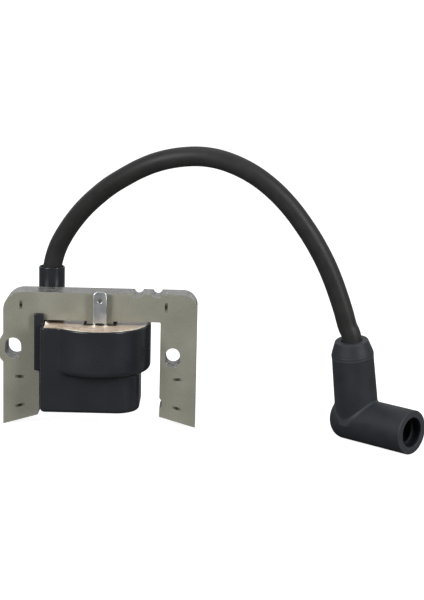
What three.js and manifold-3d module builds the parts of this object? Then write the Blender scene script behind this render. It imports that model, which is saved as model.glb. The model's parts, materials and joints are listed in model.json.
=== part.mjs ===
// Ignition module of a small petrol engine, with its high-tension lead and spark-plug boot.
// Millimetres, +Z up, +X right, +Y to the back. It stands on the tips of its core's two outer legs, and the
// boot lies on the same surface. The design is drawn with the core's front face at y 0 and its tips at z 0,
// centred on the middle leg, and the last lines move the origin to the middle of the module's footprint.
import * as THREE from "three";
import { mergeVertices } from "three/addons/utils/BufferGeometryUtils.js";
import Module from "manifold-3d";

const wasm = await Module();
wasm.setup();

// ---------------------------------------------------------------- driving dimensions

const GAP = 0.3; // clearance between neighbouring pieces

// The core: steel sheets cut to an E with its three legs down, stacked from front to back.
const SHEET_COUNT = 17;
const SHEET = 0.6;
const SHEET_PITCH = 0.635;
const CORE_DEPTH = (SHEET_COUNT - 1) * SHEET_PITCH + SHEET;
const CORE_MIDDLE = CORE_DEPTH / 2;
const CORE_HALF = 34.6;
const CORE_TOP = 48.6;
const WINDOW_TOP = 38.5; // underside of the crossbar
const LEG_INNER = 21.6; // inner side of each outer leg
const TIP_RISE = 3.75; // the pole faces slope up towards the middle
const MIDDLE_LEG = { half: 4.75, tip: 9.2 };
const LEFT_SLOT = { x: -31, low: 27.1, high: 28.9, radius: 2.85 }; // upright slots, to set the air gap
const RIGHT_SLOT = { x: 26.1, low: 24.6, high: 26.6, radius: 2.55 };
const EAR = { low: 27.1, high: 28.5, radius: 5.5 };
const TOP_NOTCHES = { x: [20.2, 13.4], radius: 1.6, rise: 0.3 };
const SIDE_NOTCH = { z: 8.7, half: 2, depth: 0.9 };
const TOP_CORNER = { left: 6.7, right: 5.3 };
const LOCK = { long: 3.6, wide: 1, deep: 0.25 }; // punched marks that lock the sheets
const TIP_SLOPE = Math.atan2(TIP_RISE, CORE_HALF - LEG_INNER);
const LOCKS = [
  { x: -28.25, z: 43.6, turn: Math.PI / 2 },
  { x: 23.5, z: 43.9, turn: Math.PI / 2 },
  { x: -28.5, z: 17.6, turn: 0 },
  { x: 28, z: 17.7, turn: 0 },
  { x: -28.5, z: 7, turn: TIP_SLOPE },
  { x: 28, z: 7, turn: -TIP_SLOPE },
];

// The cup: a round drum over a flat-sided box, both open at the top.
const WALL = 1.2;
const FLOOR = 1.5;
const DRUM = { x: -0.5, y: 4.2, radius: 18.6, bottom: 20.5 };
const CUP = { left: -20.6, right: 14.5, front: -9, back: 18.4, bottom: 6.7, rim: 37.35 };
const CUP_CORNER = { left: 1.8, rightFront: 8.5, rightBack: 6.5 };
const BOTTOM_ROUND = [[1.5, 0], [0.44, 0.44], [0, 1.5]]; // inset and rise of the edge under the box
const RAIL = { left: -23.4, right: -19.8, deep: 1.5, bottom: 20.2, top: 41.15 };
const TOWER = { x: -18.8, y: 15.8, radius: 4.7, round: 0.3, bottom: 28, seat: 45, top: 55.4 };
const TOWER_FLARE = { from: 50, mouth: 4.2 }; // the bore opens out towards its mouth

// The resin that fills the cup, drawn as a block with one pocket for the electrical parts.
const POTTING = { top: 36.6, roof: 33.8, side: 1, coilRadius: 15.3, coilFloor: 23.4, boardBack: 9.3 };

// Coils on the middle leg.
const TRANSFORMER = { bottom: 24.2, flangeTop: 32.4, barrel: 9.6, collarHalf: 5.85, top: 37.5 };
const PRIMARY = { inner: 9.9, outer: 11 };
const SECONDARY = { inner: 11.3, outer: 12, flange: 15, wire: 14.6, sections: 3, flangeThick: 0.7 };
const CHARGE = { bottom: 9, top: 23, flange: 0.8, halfX: 11.3, halfY: 9.7 };
const TRIGGER = { x: -14.5, y: 10.6, coreHalf: 1, inner: 1.75, outer: 2.6, bottom: 9.1, top: 20 };

// Electronics.
const BOARD = { x: -17.1, thick: 1, front: -6, back: 7.5, bottom: 10, top: 33.5 };
const BOARD_FACE = BOARD.x + BOARD.thick / 2 + GAP;
const TERMINAL = { x: 0.05, half: 2.37, thick: 0.8, y: -2.5, bottom: 33.95, top: 49.5, chamfer: 0.9 };
const TERMINAL_HOLE = { z: 46.3, radius: 0.75 };
const TERMINAL_ARCH = { half: 1.75, round: 0.9, top: 38.3 }; // the gap between the terminal's two feet

// The lead, and the frame of the boot on its end: local X runs along the arm, local Z up the tube.
const LEAD = { radius: 3.4, core: 1.2, hole: 1.5, steps: 30 };
const BOOT = { x: 92.1, y: -11.2, yaw: -43.1, tilt: 10.1, armRadius: 7.75 };
const ARM = { back: -8.5, mouth: 23.8, dome: 4.2, bore: 5.2, neck: 4, neckEnd: 9.5, boreEnd: -3 };
const ARM_RIDGE = { from: 19.1, to: 20.5, radius: 4.7 };
const TUBE = { foot: 7.7, neck: 7.3, bulge: 7.45, rim: 5.8, shoulder: 24.9, top: 29.75 };
const TUBE_BORE = { radius: 3.7, leadEnd: 8.5 };
const CLIP = { inner: 3.1, outer: 3.7, from: -1.8, to: 8, slot: 0.6, stem: 1.2, stemThick: 0.35 };

// Route of the lead from the tower's seat to where it enters the boot.
const LEAD_ROUTE = [
  [-18.8, 15.8, TOWER.seat + GAP], [-18.8, 15.8, 50], [-18.7, 15.8, 54.4], [-17.9, 15.2, 58.5],
  [-16.2, 13.8, 63.4], [-13.3, 11.6, 68.8], [-9.8, 8.9, 74], [-5.8, 5.8, 78.9], [-1.4, 2.5, 83.3],
  [3.2, -0.9, 87.3], [8.1, -4, 90.7], [13.1, -6.8, 93.8], [18.2, -9.2, 96.3], [23.5, -11.2, 98.1],
  [29, -12.8, 99.2], [34.5, -14, 99.6], [39.9, -14.9, 99.1], [45.1, -15.5, 97.7], [50.1, -15.9, 95.6],
  [54.8, -16.2, 92.9], [59.2, -16.4, 89.6], [63.2, -16.5, 85.9], [67, -16.5, 81.7], [70.3, -16.5, 77.4],
  [73.5, -16.5, 72.8], [76.4, -16.4, 68], [79, -16.2, 63.1], [81.3, -15.9, 58], [83.4, -15.7, 52.6],
  [85.3, -15.5, 47.2], [87, -15.1, 41.8],
];

// ---------------------------------------------------------------- materials

const finish = (color, roughness, metalness) =>
  new THREE.MeshStandardMaterial({ color, roughness, metalness });
const STEEL = finish(0x8b8b7c, 0.45, 0.8);
const TIN = finish(0xb9bcbd, 0.3, 0.9);
const CUP_PLASTIC = finish(0x1f2124, 0.35, 0);
const RESIN = finish(0xcbb49c, 0.35, 0);
const BOBBIN_PLASTIC = finish(0x18191b, 0.5, 0);
const COPPER = finish(0xa9592f, 0.35, 0.9);
const BRASS = finish(0xb9974f, 0.35, 0.9);
const BOARD_GREEN = finish(0x2f5f3a, 0.5, 0);
const FILM = finish(0xb0532c, 0.4, 0);
const EPOXY = finish(0x222222, 0.5, 0);
const CERAMIC = finish(0xb9a98a, 0.6, 0);
const JACKET = finish(0x1d1c1c, 0.6, 0);
const RUBBER = finish(0x262a30, 0.7, 0);

// ---------------------------------------------------------------- solids

// A closed geometry as a manifold-3d solid, and back.
function solid(geometry) {
  const bare = geometry.clone();
  bare.deleteAttribute("normal");
  bare.deleteAttribute("uv");
  const merged = mergeVertices(bare, 1e-4);
  const vertProperties = merged.attributes.position.array;
  const triVerts = new Uint32Array(merged.index.array);
  return new wasm.Manifold(new wasm.Mesh({ numProp: 3, vertProperties, triVerts }));
}

function geometryOf(body) {
  const { vertProperties, triVerts } = body.getMesh();
  return new THREE.BufferGeometry()
    .setAttribute("position", new THREE.BufferAttribute(vertProperties, 3))
    .setIndex(new THREE.BufferAttribute(triVerts, 1));
}

const join = (first, ...others) => others.reduce((body, other) => body.add(other), first);
const cut = (first, ...others) => others.reduce((body, other) => body.subtract(other), first);

// A box between two opposite corners.
function block([x0, y0, z0], [x1, y1, z1]) {
  const box = new THREE.BoxGeometry(x1 - x0, y1 - y0, z1 - z0);
  return solid(box.translate((x0 + x1) / 2, (y0 + y1) / 2, (z0 + z1) / 2));
}

// A plan outline raised from z0 to z1.
function prism(outline, z0, z1, curveSegments = 6) {
  const options = { depth: z1 - z0, bevelEnabled: false, curveSegments };
  return solid(new THREE.ExtrudeGeometry(outline, options).translate(0, 0, z0));
}

// A front-view outline, drawn in x and z, given depth from y0 back to y1.
function upright(outline, y0, y1, curveSegments = 6) {
  const options = { depth: y1 - y0, bevelEnabled: false, curveSegments };
  const geometry = new THREE.ExtrudeGeometry(outline, options);
  return solid(geometry.rotateX(Math.PI / 2).translate(0, y1, 0));
}

// A round bar along Z, with an optional round hole.
function disc(x, y, radius, z0, z1, hole = 0, segments = 32) {
  const outline = new THREE.Shape().absarc(0, 0, radius, 0, 2 * Math.PI, false);
  if (hole) outline.holes.push(new THREE.Path().absarc(0, 0, hole, 0, 2 * Math.PI, true));
  return prism(outline, z0, z1, segments / 2).translate([x, y, 0]);
}

// A closed profile of [radius, height] points turned about Z.
function turned(profile, segments) {
  const points = profile.map(([radius, height]) => new THREE.Vector2(radius, height));
  return solid(new THREE.LatheGeometry(points, segments).rotateX(Math.PI / 2));
}

// A round rod between two points.
function rod(from, to, radius, segments = 12) {
  const path = new THREE.LineCurve3(new THREE.Vector3(...from), new THREE.Vector3(...to));
  const section = new THREE.Shape().absarc(0, 0, radius, 0, 2 * Math.PI, false);
  const options = { extrudePath: path, steps: 1, curveSegments: segments / 2 };
  return solid(new THREE.ExtrudeGeometry(section, options));
}

// A rectangle in plan with round corners, drawn about a centre.
function roundRect(x, y, halfX, halfY, radius) {
  const outline = new THREE.Shape();
  outline.moveTo(x + halfX, y - halfY + radius);
  outline.absarc(x + halfX - radius, y + halfY - radius, radius, 0, Math.PI / 2, false);
  outline.absarc(x - halfX + radius, y + halfY - radius, radius, Math.PI / 2, Math.PI, false);
  outline.absarc(x - halfX + radius, y - halfY + radius, radius, Math.PI, 1.5 * Math.PI, false);
  outline.absarc(x + halfX - radius, y - halfY + radius, radius, 1.5 * Math.PI, 2 * Math.PI, false);
  return outline;
}

const part = new THREE.Group();

function add(name, body, material, parent = part) {
  const mesh = new THREE.Mesh(geometryOf(body), material);
  mesh.name = name;
  parent.add(mesh);
}

// ---------------------------------------------------------------- core

// Height of the sloped pole face at a given x.
const tipHeight = (x) => (TIP_RISE * (CORE_HALF - Math.abs(x))) / (CORE_HALF - LEG_INNER);

// An upright slot with round ends.
function slotHole({ x, low, high, radius }) {
  const quarter = Math.PI / 2;
  const hole = new THREE.Path().absarc(x, high, radius, 2 * quarter, quarter, true);
  hole.absarc(x, high, radius, quarter, 0, true);
  hole.absarc(x, low, radius, 0, -quarter, true);
  hole.absarc(x, low, radius, -quarter, -2 * quarter, true);
  return hole;
}

function coreOutline() {
  const { left, right } = TOP_CORNER;
  const chamfer = { x: 0.55, z: 2.1 }; // at the left leg's inner corner
  const notchRadius = (SIDE_NOTCH.half ** 2 + SIDE_NOTCH.depth ** 2) / (2 * SIDE_NOTCH.depth);
  const notchAngle = Math.asin(SIDE_NOTCH.half / notchRadius);
  const topAngle = Math.asin(TOP_NOTCHES.rise / TOP_NOTCHES.radius);
  const earAngle = Math.acos((CORE_HALF + LEFT_SLOT.x) / EAR.radius);
  const outline = new THREE.Shape();
  outline.moveTo(-CORE_HALF, 0);
  outline.lineTo(-LEG_INNER - chamfer.x, tipHeight(LEG_INNER + chamfer.x));
  outline.lineTo(-LEG_INNER, TIP_RISE + chamfer.z);
  outline.lineTo(-LEG_INNER, WINDOW_TOP);
  outline.lineTo(-MIDDLE_LEG.half, WINDOW_TOP);
  outline.lineTo(-MIDDLE_LEG.half, MIDDLE_LEG.tip);
  outline.lineTo(MIDDLE_LEG.half, MIDDLE_LEG.tip);
  outline.lineTo(MIDDLE_LEG.half, WINDOW_TOP);
  outline.lineTo(LEG_INNER, WINDOW_TOP);
  const notchX = LEG_INNER + SIDE_NOTCH.depth - notchRadius;
  outline.absarc(notchX, SIDE_NOTCH.z, notchRadius, notchAngle, -notchAngle, true);
  outline.lineTo(LEG_INNER, TIP_RISE);
  outline.lineTo(CORE_HALF, 0);
  outline.absarc(CORE_HALF - right, CORE_TOP - right, right, 0, Math.PI / 2, false);
  for (const x of TOP_NOTCHES.x) {
    outline.absarc(x, CORE_TOP + TOP_NOTCHES.rise, TOP_NOTCHES.radius, -topAngle, topAngle - Math.PI, true);
  }
  outline.absarc(left - CORE_HALF, CORE_TOP - left, left, Math.PI / 2, Math.PI, false);
  outline.absarc(LEFT_SLOT.x, EAR.high, EAR.radius, Math.PI - earAngle, Math.PI, false);
  outline.absarc(LEFT_SLOT.x, EAR.low, EAR.radius, Math.PI, Math.PI + earAngle, false);
  outline.holes.push(slotHole(LEFT_SLOT), slotHole(RIGHT_SLOT));
  return outline;
}

// The punched marks, as small bars between two depths.
const lockMarks = (y0, y1) =>
  LOCKS.map(({ x, z, turn }) => {
    const bar = block([-LOCK.long / 2, y0, -LOCK.wide / 2], [LOCK.long / 2, y1, LOCK.wide / 2]);
    return bar.rotate([0, (-turn * 180) / Math.PI, 0]).translate([x, 0, z]);
  });

function makeCore() {
  const outline = coreOutline();
  for (let sheet = 0; sheet < SHEET_COUNT; sheet++) {
    const front = sheet * SHEET_PITCH;
    let body = upright(outline, front, front + SHEET, 3);
    if (sheet === 0) body = cut(body, ...lockMarks(-LOCK.deep, LOCK.deep));
    if (sheet === SHEET_COUNT - 1) body = join(body, ...lockMarks(front + LOCK.deep, CORE_DEPTH + LOCK.deep));
    add("core_lamination_" + String(sheet + 1).padStart(2, "0"), body, STEEL);
  }
}

// ---------------------------------------------------------------- cup and potting

// Plan of the box, shrunk by a margin.
function boxPlan(margin) {
  const [left, right] = [CUP.left + margin, CUP.right - margin];
  const [front, back] = [CUP.front + margin, CUP.back - margin];
  const round = (radius) => Math.max(radius - margin, 0.2);
  const leftRound = round(CUP_CORNER.left);
  const frontRound = round(CUP_CORNER.rightFront);
  const backRound = round(CUP_CORNER.rightBack);
  const plan = new THREE.Shape();
  plan.moveTo(left, back - leftRound);
  plan.lineTo(left, front + leftRound);
  plan.absarc(left + leftRound, front + leftRound, leftRound, Math.PI, 1.5 * Math.PI, false);
  plan.absarc(right - frontRound, front + frontRound, frontRound, -Math.PI / 2, 0, false);
  plan.absarc(right - backRound, back - backRound, backRound, 0, Math.PI / 2, false);
  plan.absarc(left + leftRound, back - leftRound, leftRound, Math.PI / 2, Math.PI, false);
  return plan;
}

// The cup's outer form, or its hollow when a margin and a floor are given. Left of the middle the box's
// sides run up to the rim, and right of it the drum overhangs the box.
function cupForm(margin, floor, top) {
  const drum = disc(DRUM.x, DRUM.y, DRUM.radius - margin, DRUM.bottom + floor, top, 0, 56);
  const steps = BOTTOM_ROUND.map(([inset, rise]) =>
    prism(boxPlan(margin + inset), CUP.bottom + floor + rise, DRUM.bottom + floor, 4),
  );
  const side = cut(prism(boxPlan(margin), DRUM.bottom - 1, top, 4), block([0, -40, 0], [40, 40, top + 1]));
  return join(drum, wasm.Manifold.hull(steps), side);
}

// The rails in front of and behind the left leg.
function rail(y0) {
  const { left, right, bottom, top } = RAIL;
  const middle = (left + right) / 2;
  const outline = roundRect(middle, (bottom + top) / 2, (right - left) / 2, (top - bottom) / 2, 0.8);
  return upright(outline, y0, y0 + RAIL.deep, 2);
}

function makeCup() {
  const shell = cut(cupForm(0, 0, CUP.rim), cupForm(WALL, FLOOR, CUP.rim + 1));
  const { radius, round, bottom, seat, top } = TOWER;
  const column = turned([
    [0, bottom], [radius, bottom], [radius, top - round], [radius - round, top], [0, top],
  ], 36);
  const boreRadius = LEAD.radius + GAP;
  const bore = turned([
    [0, seat], [boreRadius, seat], [boreRadius, TOWER_FLARE.from], [TOWER_FLARE.mouth, top],
    [TOWER_FLARE.mouth, top + 1], [0, top + 1],
  ], 24);
  const pinHole = disc(0, 0, 1.1, bottom - 1, seat + 1, 0, 16);
  const [tower, hollow] = [column, join(bore, pinHole)].map((body) => body.translate([TOWER.x, TOWER.y, 0]));
  const body = join(shell, tower, rail(-GAP - RAIL.deep), rail(CORE_DEPTH + GAP));
  add("coil_cup", cut(body, hollow, highTensionArm(0.8)), CUP_PLASTIC);
}

function makePotting() {
  const filled = cupForm(WALL + GAP, FLOOR + GAP, POTTING.top);
  const { roof, coilRadius, coilFloor, boardBack } = POTTING;
  const coilPocket = disc(0, CORE_MIDDLE, coilRadius, coilFloor, roof, 0, 48);
  const plan = boxPlan(WALL + GAP + POTTING.side);
  const lowPocket = prism(plan, 0, coilFloor + 0.1, 4);
  const boardPocket = prism(plan, 0, roof, 4).intersect(block([-30, -30, 0], [-8, boardBack, roof]));
  const tower = disc(TOWER.x, TOWER.y, TOWER.radius + GAP, 0, CUP.rim, 0, 32);
  const reach = TRANSFORMER.collarHalf + GAP;
  const collar = block([-reach, CORE_MIDDLE - reach - 0.3, roof - 1], [reach, CORE_MIDDLE + reach + 0.3, 40]);
  const bladeReach = TERMINAL.half + GAP;
  const blade = block(
    [TERMINAL.x - bladeReach, TERMINAL.y - GAP, roof - 1],
    [TERMINAL.x + bladeReach, 0, 40],
  );
  const railRoom = [-GAP - RAIL.deep, CORE_DEPTH + GAP].map((y0) =>
    block([CUP.left, y0 - GAP, 0], [RAIL.right + GAP, y0 + RAIL.deep + GAP, CUP.rim]),
  );
  const pockets = [coilPocket, lowPocket, boardPocket, collar, blade, tower, highTensionArm(0.8)];
  add("potting", cut(filled, ...pockets, ...railRoom), RESIN);
}

// ---------------------------------------------------------------- coils

// A bobbin's square passage for the middle leg.
const legPassage = () =>
  block([-MIDDLE_LEG.half - GAP, -GAP, 0], [MIDDLE_LEG.half + GAP, CORE_DEPTH + GAP, CORE_TOP]);

function makeTransformer() {
  const { bottom, flangeTop, barrel, collarHalf, top } = TRANSFORMER;
  const round = (radius, z0, z1, hole) => disc(0, CORE_MIDDLE, radius, z0, z1, hole, 36);
  const reachY = collarHalf + 0.3;
  const collar = block([-collarHalf, CORE_MIDDLE - reachY, bottom], [collarHalf, CORE_MIDDLE + reachY, top]);
  const bobbin = join(round(barrel, bottom, flangeTop), collar);
  add("transformer_bobbin", cut(bobbin, legPassage()), BOBBIN_PLASTIC);
  add("primary_winding", round(PRIMARY.outer, bottom + 0.8, flangeTop - 0.8, PRIMARY.inner), COPPER);

  const { sections, flangeThick } = SECONDARY;
  const pitch = (flangeTop - bottom - flangeThick) / sections;
  let sleeve = round(SECONDARY.outer, bottom, flangeTop, SECONDARY.inner);
  for (let edge = 0; edge <= sections; edge++) {
    const z = bottom + edge * pitch;
    sleeve = join(sleeve, round(SECONDARY.flange, z, z + flangeThick, SECONDARY.inner));
  }
  add("secondary_bobbin", sleeve, BOBBIN_PLASTIC);
  for (let section = 0; section < sections; section++) {
    const z0 = bottom + section * pitch + flangeThick + GAP;
    const z1 = bottom + (section + 1) * pitch - GAP;
    add("secondary_winding_" + (section + 1), round(SECONDARY.wire, z0, z1, SECONDARY.outer + GAP), COPPER);
  }
}

function makeChargeCoil() {
  const { bottom, top, flange, halfX, halfY } = CHARGE;
  const tubeHalf = TRANSFORMER.collarHalf;
  const plate = (z0) => prism(roundRect(0, CORE_MIDDLE, halfX, halfY, 2), z0, z0 + flange, 2);
  const tube = prism(roundRect(0, CORE_MIDDLE, tubeHalf, tubeHalf, 0.5), bottom, top, 2);
  add("charge_bobbin", cut(join(tube, plate(bottom), plate(top - flange)), legPassage()), BOBBIN_PLASTIC);
  const wound = roundRect(0, CORE_MIDDLE, halfX - 0.4, halfY - 0.4, 3);
  const coil = prism(wound, bottom + flange + GAP, top - flange - GAP, 3);
  const passage = tubeHalf + GAP;
  const hole = prism(roundRect(0, CORE_MIDDLE, passage, passage, 0.5), bottom, top, 2);
  add("charge_winding", cut(coil, hole), COPPER);
}

function makeTriggerCoil() {
  const { x, y, coreHalf, inner, outer, bottom, top } = TRIGGER;
  add("trigger_core", block([x - coreHalf, y - coreHalf, bottom], [x + coreHalf, y + coreHalf, top]), STEEL);
  add("trigger_winding", disc(x, y, outer, bottom + 1, top - 2, inner, 20), COPPER);
}

// ---------------------------------------------------------------- electronics and connections

function makeElectronics() {
  const { x, thick, front, back, bottom, top } = BOARD;
  add("circuit_board", block([x - thick / 2, front, bottom], [x + thick / 2, back, top]), BOARD_GREEN);
  add("storage_capacitor", block([BOARD_FACE, -5, 10], [BOARD_FACE + 4.6, 6, 19]), FILM);
  add("thyristor", block([BOARD_FACE, -5.8, 25], [BOARD_FACE + 2.6, -1.6, 29.6]), EPOXY);
  const beads = [
    ["charge_diode", -4.2, 20, EPOXY],
    ["clamp_diode", -1.4, 20, EPOXY],
    ["gate_resistor", -3.7, 30.2, CERAMIC],
  ];
  for (const [name, y, z, material] of beads) {
    add(name, disc(BOARD_FACE + 1, y, 0.9, z, z + 3, 0, 12), material);
  }
}

function makeTerminal() {
  const { x, half, thick, y, bottom, top, chamfer } = TERMINAL;
  const arch = TERMINAL_ARCH;
  const turn = arch.top - arch.round;
  const outline = new THREE.Shape();
  outline.moveTo(arch.half, bottom);
  outline.lineTo(half, bottom);
  outline.lineTo(half, top - chamfer);
  outline.lineTo(half - chamfer, top);
  outline.lineTo(chamfer - half, top);
  outline.lineTo(-half, top - chamfer);
  outline.lineTo(-half, bottom);
  outline.lineTo(-arch.half, bottom);
  outline.absarc(arch.round - arch.half, turn, arch.round, Math.PI, Math.PI / 2, true);
  outline.absarc(arch.half - arch.round, turn, arch.round, Math.PI / 2, 0, true);
  const hole = new THREE.Path().absarc(0, TERMINAL_HOLE.z, TERMINAL_HOLE.radius, 0, 2 * Math.PI, true);
  outline.holes.push(hole);
  add("kill_terminal", upright(outline, y, y + thick).translate([x, 0, 0]), TIN);
}

function makeConnections() {
  const wireZ = TERMINAL.bottom - GAP - 0.4;
  const wireY = TERMINAL.y + TERMINAL.thick / 2;
  const bend = [-8, wireY, wireZ];
  const knee = solid(new THREE.SphereGeometry(0.42, 10, 6)).translate(bend);
  const run = rod([TERMINAL.x - TERMINAL.half, wireY, wireZ], bend, 0.4, 8);
  add("kill_wire", join(run, knee, rod(bend, [BOARD_FACE, -0.6, wireZ], 0.4, 8)), COPPER);
  const strip = CHARGE.top + 0.35;
  add("earth_strip", block([BOARD_FACE, 2.5, strip], [-MIDDLE_LEG.half - GAP, 6.5, strip + 0.4]), TIN);
}

// The sideways arm of the high-tension pin, from the tower's axis to the secondary winding.
function highTensionArm(radius) {
  const z = TOWER.bottom + 1.5;
  const reach = SECONDARY.flange + GAP;
  const away = new THREE.Vector2(TOWER.x, TOWER.y - CORE_MIDDLE).normalize().multiplyScalar(reach);
  return rod([TOWER.x, TOWER.y, z], [away.x, away.y + CORE_MIDDLE, z], radius);
}

function makePin() {
  const upper = disc(TOWER.x, TOWER.y, 0.8, TOWER.bottom + 1, TOWER.seat - GAP, 0, 12);
  add("high_tension_pin", join(upper, highTensionArm(0.5)), BRASS);
}

// ---------------------------------------------------------------- lead and boot

const bootFrame = new THREE.Group();
bootFrame.position.set(BOOT.x, BOOT.y, BOOT.armRadius);
bootFrame.rotation.set(THREE.MathUtils.degToRad(BOOT.tilt), 0, THREE.MathUtils.degToRad(BOOT.yaw), "ZYX");
bootFrame.updateMatrix();

// A point on the boot's tube axis, at a height above the arm's axis.
const onTube = (height) => new THREE.Vector3(0, 0, height).applyMatrix4(bootFrame.matrix);

function makeLead() {
  const inBoot = [TUBE.top + 2, 24, 16, TUBE_BORE.leadEnd].map(onTube);
  const route = [...LEAD_ROUTE.map((point) => new THREE.Vector3(...point)), ...inBoot];
  const extrudePath = new THREE.CatmullRomCurve3(route, false, "centripetal");
  const tube = (radius, hole, curveSegments) => {
    const section = new THREE.Shape().absarc(0, 0, radius, 0, 2 * Math.PI, false);
    if (hole) section.holes.push(new THREE.Path().absarc(0, 0, hole, 0, 2 * Math.PI, true));
    return solid(new THREE.ExtrudeGeometry(section, { extrudePath, steps: LEAD.steps, curveSegments }));
  };
  add("lead_jacket", tube(LEAD.radius, LEAD.hole, 6), JACKET);
  add("lead_conductor", tube(LEAD.core, 0, 4), COPPER);
}

// Turns a solid made about Z so that its axis lies along X.
const alongX = (body) => body.rotate([0, 90, 0]);

function makeBoot() {
  const { back, mouth, dome, bore, neck, neckEnd, boreEnd } = ARM;
  const radius = BOOT.armRadius;
  const domeArc = [0, 1, 2, 3, 4].map((step) => {
    const angle = (step * Math.PI) / 8;
    return [radius - dome + dome * Math.sin(angle), back + dome - dome * Math.cos(angle)];
  });
  const arm = turned([[0, back], ...domeArc, [radius, mouth - 0.4], [radius - 0.4, mouth], [0, mouth]], 32);
  const tube = turned([
    [0, 0], [TUBE.foot, 0], [TUBE.neck, TUBE.shoulder - 1.2], [TUBE.bulge, TUBE.shoulder],
    [TUBE.rim, TUBE.top - 0.5], [TUBE.rim - 0.5, TUBE.top], [0, TUBE.top],
  ], 32);
  const above = TUBE.top + 1;
  const leadBore = turned([[0, 2], [TUBE_BORE.radius, 2], [TUBE_BORE.radius, above], [0, above]], 24);
  const ridge = ARM_RIDGE;
  const socket = turned([
    [0, boreEnd], [neck, boreEnd], [neck, neckEnd], [bore, neckEnd + 1], [bore, ridge.from],
    [ridge.radius, ridge.from + 0.3], [ridge.radius, ridge.to - 0.3], [bore, ridge.to], [bore, mouth + 1],
    [0, mouth + 1],
  ], 28);
  add("plug_boot", cut(join(alongX(arm), tube), leadBore, alongX(socket)), RUBBER, bootFrame);

  const ring = turned([
    [CLIP.inner, CLIP.from], [CLIP.outer, CLIP.from], [CLIP.outer, CLIP.to], [CLIP.inner, CLIP.to],
    [CLIP.inner, CLIP.from],
  ], 24);
  const slot = block([CLIP.from - 1, -CLIP.slot, -CLIP.outer - 1], [CLIP.to + 1, CLIP.slot, 0]);
  const stem = block(
    [-CLIP.stem, -CLIP.stemThick, CLIP.inner + 0.2],
    [CLIP.stem, CLIP.stemThick, TUBE_BORE.leadEnd - GAP],
  );
  add("plug_clip", join(cut(alongX(ring), slot), stem), TIN, bootFrame);
}

makeCore();
makeCup();
makePotting();
makeTransformer();
makeChargeCoil();
makeTriggerCoil();
makeElectronics();
makeTerminal();
makeConnections();
makePin();
makeLead();
makeBoot();
part.add(bootFrame);

// The origin: the middle of the module's footprint, without the lead and boot, on the surface it stands on.
const earLeft = LEFT_SLOT.x - EAR.radius;
part.position.set(-(earLeft + CORE_HALF) / 2, -DRUM.y, 0);
const object = new THREE.Group();
object.add(part);

export default object;
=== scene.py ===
"""The looks of a small engine's ignition module, with its high-tension lead and its plug boot.

Lengths are millimetres in the module's design frame, unless a name says otherwise: x 0 is the middle of the
core, y 0 the front of the core and z 0 the surface that it stands on. in_row() turns them into metres in the
row frame.
"""

import json
import math
import random

import bmesh
import bpy
import numpy as np
from mathutils import Matrix, Vector


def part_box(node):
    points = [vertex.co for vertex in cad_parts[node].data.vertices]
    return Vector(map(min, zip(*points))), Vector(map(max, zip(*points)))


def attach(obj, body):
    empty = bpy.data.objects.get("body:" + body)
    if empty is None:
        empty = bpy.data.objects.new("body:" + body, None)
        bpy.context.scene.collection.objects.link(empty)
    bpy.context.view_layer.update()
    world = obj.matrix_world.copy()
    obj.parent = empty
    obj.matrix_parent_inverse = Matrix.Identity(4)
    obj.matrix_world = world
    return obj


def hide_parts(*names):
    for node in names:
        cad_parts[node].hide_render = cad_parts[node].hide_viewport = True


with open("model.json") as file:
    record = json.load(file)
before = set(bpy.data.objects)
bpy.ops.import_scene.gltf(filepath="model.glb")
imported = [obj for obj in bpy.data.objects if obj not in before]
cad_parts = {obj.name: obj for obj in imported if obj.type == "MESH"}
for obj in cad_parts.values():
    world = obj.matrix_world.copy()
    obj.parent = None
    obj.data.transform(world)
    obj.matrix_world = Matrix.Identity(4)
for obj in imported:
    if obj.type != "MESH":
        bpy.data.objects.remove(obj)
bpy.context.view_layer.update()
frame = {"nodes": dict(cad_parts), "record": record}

MM = 0.001
MODULE, BOOT_BODY = "module", "boot"

# Half the width of the core, without its ear
CORE_HALF = 34.6

# The design frame's origin in the row frame, from the first sheet's right side and front face
FIRST_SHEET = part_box("core_lamination_01")
ORIGIN = np.array([
    max(corner.x for corner in FIRST_SHEET) / MM - CORE_HALF,
    min(corner.y for corner in FIRST_SHEET) / MM,
    0,
])


def in_row(points):
    """Design-frame millimetres as row-frame metres."""
    return (np.asarray(points, float) + ORIGIN) * MM


# ---------------------------------------------------------------- sizes

# Core sheets
SHEETS = [name for name in sorted(frame["nodes"]) if name.startswith("core_lamination_")]
SHEET, SHEET_PITCH, SHEET_EDGE = 0.6, 0.635, 0.07
CORE_TOP, WINDOW_TOP, LEG_INNER, TIP_RISE = 48.6, 38.5, 21.6, 3.75
WINDOW_CORNER = 0.5
LEG_CHAMFER = {"x": 0.55, "z": 2.1}  # at the left leg's inner corner
CORE_DEPTH = (len(SHEETS) - 1) * SHEET_PITCH + SHEET
MIDDLE_LEG = {"half": 4.75, "tip": 9.2}
LEFT_SLOT = {"x": -31, "low": 27.1, "high": 28.9, "radius": 2.85}
RIGHT_SLOT = {"x": 26.1, "low": 24.6, "high": 26.6, "radius": 2.55}
EAR = {"low": 27.1, "high": 28.5, "radius": 5.5}
TOP_NOTCHES = {"x": (20.2, 13.4), "radius": 1.6, "rise": 0.3}
SIDE_NOTCH = {"z": 8.7, "half": 2, "depth": 0.9}
TOP_CORNER = {"left": 6.7, "right": 5.3}
TIP_SLOPE = math.atan2(TIP_RISE, CORE_HALF - LEG_INNER)
LOCK = {"long": 3.6, "wide": 1, "floor": 0.5, "deep": 0.4, "proud": 0.25}
SHEET_SHIFT = 0.03  # how far a sheet can be out of line with the first
LOCKS = [  # x, z and turn of each punched mark
    (-28.25, 43.6, math.pi / 2), (23.5, 43.9, math.pi / 2), (-28.5, 17.6, 0), (28, 17.7, 0),
    (-28.5, 7, TIP_SLOPE), (28, 7, -TIP_SLOPE),
]

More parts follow.
